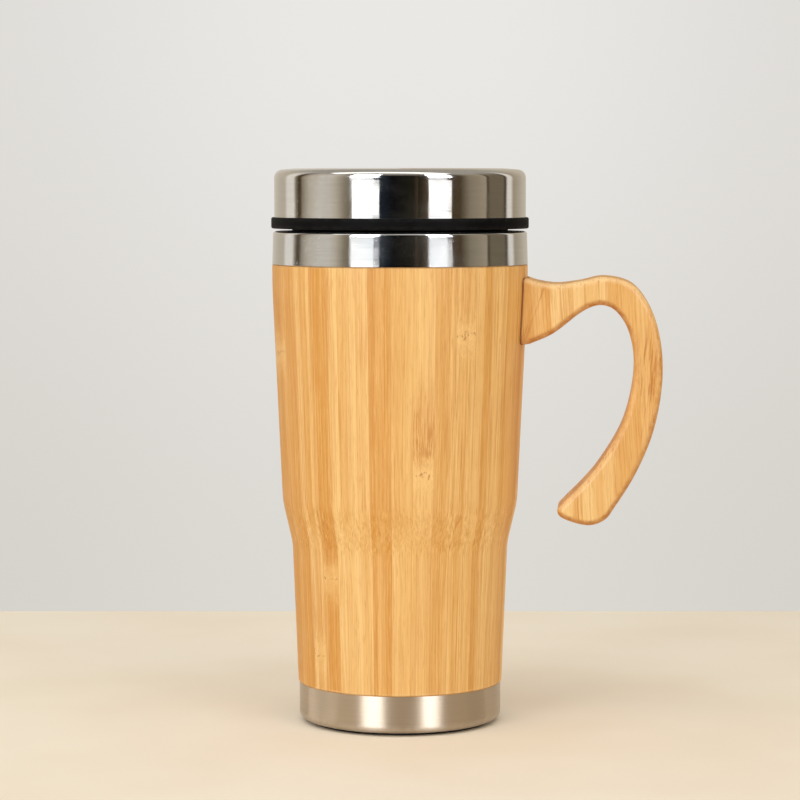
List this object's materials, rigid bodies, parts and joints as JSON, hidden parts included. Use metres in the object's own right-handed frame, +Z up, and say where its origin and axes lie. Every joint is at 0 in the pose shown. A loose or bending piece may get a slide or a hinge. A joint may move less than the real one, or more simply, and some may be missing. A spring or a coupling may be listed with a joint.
{
  "type": "travel mug",
  "caption": "Tall steel-lined travel mug with a bamboo sleeve, an open hooked bamboo handle and a push-in lid with a sliding sip cover.",
  "frame": {"origin": "centre of the foot pad's lower face, on the table", "axes": "+Z up along the mug's axis, +X towards the handle, -Y towards the sip hole"},
  "size_m": [0.1294, 0.0852, 0.1836],
  "materials": {
    "polished_steel": "polished",
    "brushed_steel": "brushed",
    "plain_steel": "satin",
    "screw_steel": "plated",
    "bamboo": "oiled",
    "bamboo_handle": "oiled",
    "black_plastic": "satin",
    "slider_plastic": "matte",
    "silicone": "matte",
    "black_rubber": "matte"
  },
  "bodies": {
    "cup": {"liner": "plain_steel", "outer_shell": "polished_steel", "shell_bottom": "plain_steel", "bamboo_sleeve": "bamboo", "base_cap": "brushed_steel", "foot_pad": "black_rubber", "handle": "bamboo_handle", "handle_screws": "screw_steel"},
    "gasket": {"lid_gasket": "silicone"},
    "lid": {"lid_body": "black_plastic", "lid_underside": "black_plastic", "lid_cap": "polished_steel"},
    "slider": {"slider_knob": "slider_plastic", "slider_seal": "silicone", "slider_clip": "black_plastic", "slider_screw": "screw_steel"}
  },
  "joints": [
    {"name": "lid_lift", "type": "slide", "parent": "cup", "child": "gasket", "axis": [0, 0, 1], "range_m": [0, 0.08]},
    {"name": "lid_turn", "type": "hinge", "parent": "gasket", "child": "lid", "pos_m": [0, 0, 0.16], "axis": [0, 0, 1], "continuous": true},
    {"name": "slider_slide", "type": "slide", "parent": "lid", "child": "slider", "axis": [0, 1, 0], "range_m": [0, 0.014]}
  ]
}
